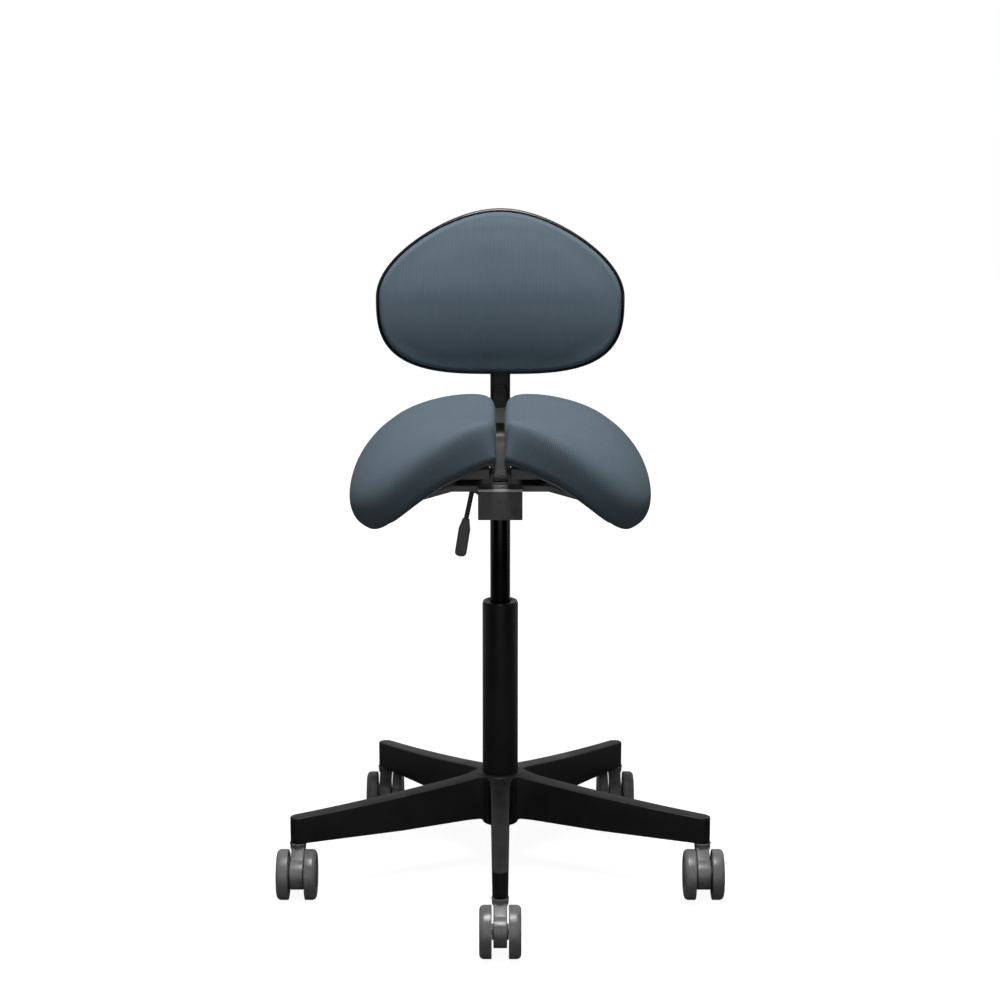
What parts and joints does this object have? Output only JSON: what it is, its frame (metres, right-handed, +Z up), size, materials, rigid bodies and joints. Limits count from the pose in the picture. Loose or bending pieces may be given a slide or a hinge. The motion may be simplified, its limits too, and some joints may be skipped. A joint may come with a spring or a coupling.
{
  "type": "saddle stool",
  "caption": "Saddle stool with a divided bent seat on a gas lift, a swivelling base with legs on casters, a height lever and an adjustable backrest.",
  "frame": {"origin": "middle of the footprint, on the floor", "axes": "+Z up, -Y toward the sitter's knees, +X toward the sitter's left"},
  "size_m": [0.616, 0.631, 0.9187],
  "materials": {
    "black_paint": "satin black powder coat",
    "grey_paint": "satin dark grey powder coat on folded sheet",
    "cast_metal": "dark grey satin casting",
    "black_tube": "smooth semi-gloss black",
    "steel": "plain turned steel",
    "dark_plastic": "fine-textured black moulding",
    "wheel_plastic": "smooth dark grey wheel with a soft tread",
    "gloss_plastic": "glossy black moulding",
    "rubber": "matt black rubber",
    "fabric": "blue-grey fine woven upholstery"
  },
  "bodies": {
    "base": {"star_base": "black_paint", "column_tube": "black_paint", "guide_bush": "dark_plastic", "thrust_bearing": "steel", "caster_stem_1": "steel", "caster_stem_2": "steel", "caster_stem_3": "steel", "caster_stem_4": "steel", "caster_stem_5": "steel"},
    "caster_1": {"caster_yoke_1": "dark_plastic", "caster_axle_1": "steel"},
    "caster_2": {"caster_yoke_2": "dark_plastic", "caster_axle_2": "steel"},
    "caster_3": {"caster_yoke_3": "dark_plastic", "caster_axle_3": "steel"},
    "caster_4": {"caster_yoke_4": "dark_plastic", "caster_axle_4": "steel"},
    "caster_5": {"caster_yoke_5": "dark_plastic", "caster_axle_5": "steel"},
    "wheel_right_1": {"wheel_right_1": "wheel_plastic"},
    "wheel_right_2": {"wheel_right_2": "wheel_plastic"},
    "wheel_right_3": {"wheel_right_3": "wheel_plastic"},
    "wheel_right_4": {"wheel_right_4": "wheel_plastic"},
    "wheel_right_5": {"wheel_right_5": "wheel_plastic"},
    "wheel_left_1": {"wheel_left_1": "wheel_plastic"},
    "wheel_left_2": {"wheel_left_2": "wheel_plastic"},
    "wheel_left_3": {"wheel_left_3": "wheel_plastic"},
    "wheel_left_4": {"wheel_left_4": "wheel_plastic"},
    "wheel_left_5": {"wheel_left_5": "wheel_plastic"},
    "lift_rod": {"piston_rod": "steel", "rod_clip": "steel", "piston": "dark_plastic"},
    "seat_frame": {"pressure_tube": "black_tube", "mechanism_housing": "grey_paint", "lever_bushing": "dark_plastic", "cross_plate": "grey_paint", "rubber_puck_right": "rubber", "rubber_puck_left": "rubber", "seat_bracket_right": "grey_paint", "seat_bracket_left": "grey_paint", "seat_shell_right": "dark_plastic", "seat_shell_left": "dark_plastic", "seat_cushion_right": "fabric", "seat_cushion_left": "fabric", "bar_clamp": "cast_metal", "clamp_screw_right": "steel", "clamp_screw_left": "steel"},
    "lever": {"lever_rod": "black_paint", "lever_grip": "dark_plastic"},
    "release_pin": {"release_pin": "steel"},
    "back_bar": {"back_bar": "black_paint"},
    "depth_knob": {"depth_knob": "dark_plastic"},
    "back_channel": {"back_channel": "black_paint", "channel_keeper": "dark_plastic", "tilt_pin": "steel"},
    "height_knob": {"height_knob": "dark_plastic"},
    "backrest": {"backrest_bracket": "black_paint", "backrest_shell": "gloss_plastic", "backrest_cushion": "fabric"}
  },
  "joints": [
    {"name": "caster_swivel_1", "type": "hinge", "parent": "base", "child": "caster_1", "pos_m": [0, -0.25355, 0.06], "axis": [0, 0, 1], "continuous": true},
    {"name": "caster_swivel_2", "type": "hinge", "parent": "base", "child": "caster_2", "pos_m": [0.28056, -0.04971, 0.06], "axis": [0, 0, 1], "continuous": true},
    {"name": "caster_swivel_3", "type": "hinge", "parent": "base", "child": "caster_3", "pos_m": [0.1734, 0.28011, 0.06], "axis": [0, 0, 1], "continuous": true},
    {"name": "caster_swivel_4", "type": "hinge", "parent": "base", "child": "caster_4", "pos_m": [-0.1734, 0.28011, 0.06], "axis": [0, 0, 1], "continuous": true},
    {"name": "caster_swivel_5", "type": "hinge", "parent": "base", "child": "caster_5", "pos_m": [-0.28056, -0.04971, 0.06], "axis": [0, 0, 1], "continuous": true},
    {"name": "wheel_roll_right_1", "type": "hinge", "parent": "caster_1", "child": "wheel_right_1", "pos_m": [0, -0.28055, 0.035], "axis": [1, 0, 0], "continuous": true},
    {"name": "wheel_roll_right_2", "type": "hinge", "parent": "caster_2", "child": "wheel_right_2", "pos_m": [0.28056, -0.07671, 0.035], "axis": [1, 0, 0], "continuous": true},
    {"name": "wheel_roll_right_3", "type": "hinge", "parent": "caster_3", "child": "wheel_right_3", "pos_m": [0.1734, 0.25311, 0.035], "axis": [1, 0, 0], "continuous": true},
    {"name": "wheel_roll_right_4", "type": "hinge", "parent": "caster_4", "child": "wheel_right_4", "pos_m": [-0.1734, 0.25311, 0.035], "axis": [1, 0, 0], "continuous": true},
    {"name": "wheel_roll_right_5", "type": "hinge", "parent": "caster_5", "child": "wheel_right_5", "pos_m": [-0.28056, -0.07671, 0.035], "axis": [1, 0, 0], "continuous": true},
    {"name": "wheel_roll_left_1", "type": "hinge", "parent": "caster_1", "child": "wheel_left_1", "pos_m": [0, -0.28055, 0.035], "axis": [1, 0, 0], "continuous": true},
    {"name": "wheel_roll_left_2", "type": "hinge", "parent": "caster_2", "child": "wheel_left_2", "pos_m": [0.28056, -0.07671, 0.035], "axis": [1, 0, 0], "continuous": true},
    {"name": "wheel_roll_left_3", "type": "hinge", "parent": "caster_3", "child": "wheel_left_3", "pos_m": [0.1734, 0.25311, 0.035], "axis": [1, 0, 0], "continuous": true},
    {"name": "wheel_roll_left_4", "type": "hinge", "parent": "caster_4", "child": "wheel_left_4", "pos_m": [-0.1734, 0.25311, 0.035], "axis": [1, 0, 0], "continuous": true},
    {"name": "wheel_roll_left_5", "type": "hinge", "parent": "caster_5", "child": "wheel_left_5", "pos_m": [-0.28056, -0.07671, 0.035], "axis": [1, 0, 0], "continuous": true},
    {"name": "seat_swivel", "type": "hinge", "parent": "base", "child": "lift_rod", "pos_m": [0, 0.04145, 0.08], "axis": [0, 0, 1], "continuous": true},
    {"name": "seat_height", "type": "slide", "parent": "lift_rod", "child": "seat_frame", "axis": [0, 0, 1], "range_m": [-0.11, 0.085]},
    {"name": "lever_pull", "type": "hinge", "parent": "seat_frame", "child": "lever", "pos_m": [-0.0303, 0.04145, 0.551], "axis": [0, 1, 0], "range_deg": [0, 7], "stiffness_Nm_per_rad": 2, "springref_deg": -5.73},
    {"name": "pin_press", "type": "slide", "parent": "seat_frame", "child": "release_pin", "axis": [0, 0, -1], "range_m": [0, 0.0038]},
    {"name": "back_depth", "type": "slide", "parent": "seat_frame", "child": "back_bar", "axis": [0, 1, 0], "range_m": [-0.015, 0.035]},
    {"name": "depth_knob_turn", "type": "hinge", "parent": "seat_frame", "child": "depth_knob", "pos_m": [0, 0.10745, 0.548], "axis": [0, 0, 1], "range_deg": [-360, 0]},
    {"name": "back_height", "type": "slide", "parent": "back_bar", "child": "back_channel", "axis": [0, 0, 1], "range_m": [-0.008, 0.036]},
    {"name": "height_knob_turn", "type": "hinge", "parent": "back_channel", "child": "height_knob", "pos_m": [0, 0.30755, 0.612], "axis": [0, 1, 0], "range_deg": [-360, 0]},
    {"name": "back_tilt", "type": "hinge", "parent": "back_channel", "child": "backrest", "pos_m": [0, 0.29225, 0.79], "axis": [1, 0, 0], "range_deg": [-12, 6]}
  ],
  "couplings": [
    {"joint": "pin_press", "follows": "lever_pull", "m_per_rad": 0.0303}
  ]
}
